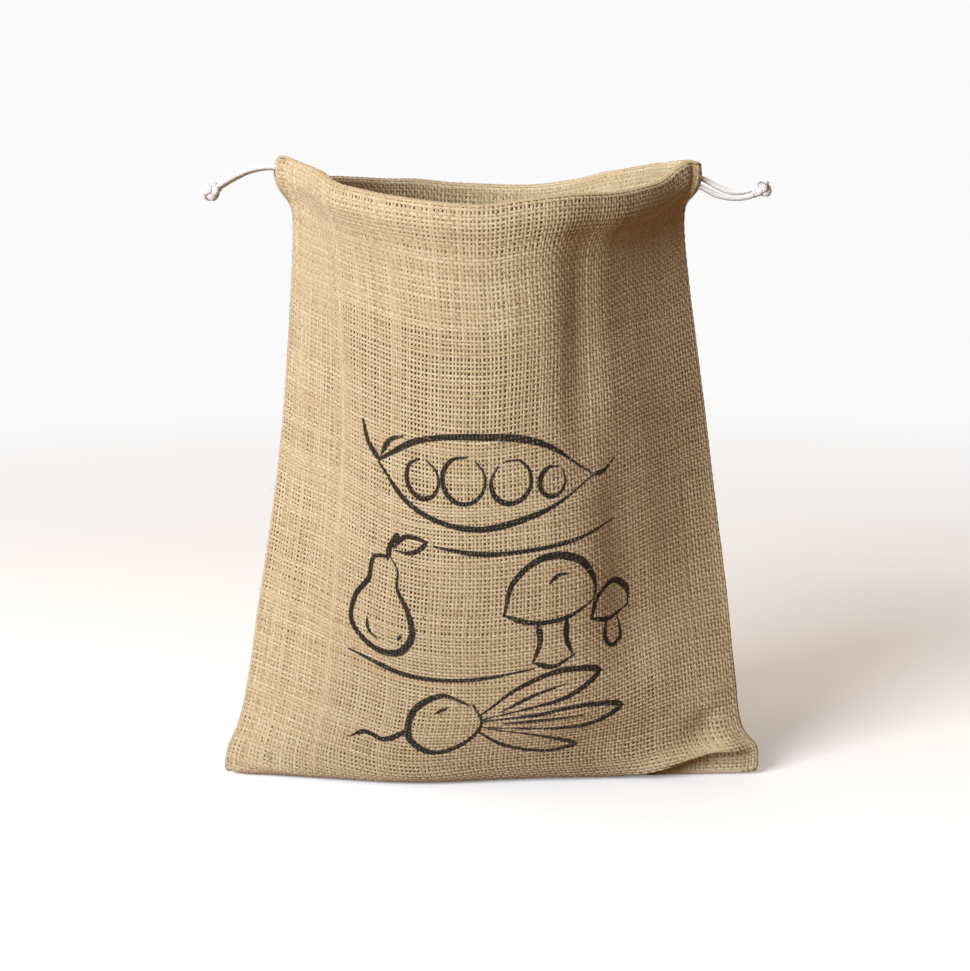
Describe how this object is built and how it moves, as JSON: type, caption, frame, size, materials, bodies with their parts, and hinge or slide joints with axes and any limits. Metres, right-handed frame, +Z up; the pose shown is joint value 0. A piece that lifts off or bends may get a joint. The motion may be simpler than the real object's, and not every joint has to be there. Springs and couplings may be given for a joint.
{
  "type": "drawstring produce bag",
  "caption": "Open-mouthed jute bag for loose vegetables, standing on its flattened base, with a stitched cord casing round the mouth and a knotted drawcord at either side.",
  "frame": {"origin": "middle of the bag's outline in plan, on the surface it stands on", "axes": "+Z up, -Y out of the printed front, +X to the right as seen from the front"},
  "size_m": [0.3094, 0.1797, 0.346],
  "materials": {
    "jute": "coarse open plain weave, matt and hairy",
    "cotton_cord": "smooth braided cotton, matt"
  },
  "bodies": {
    "root": {"front_panel": "jute", "back_panel": "jute", "drawcord_left": "cotton_cord", "drawcord_right": "cotton_cord", "knot_left": "cotton_cord", "knot_right": "cotton_cord"}
  },
  "joints": []
}
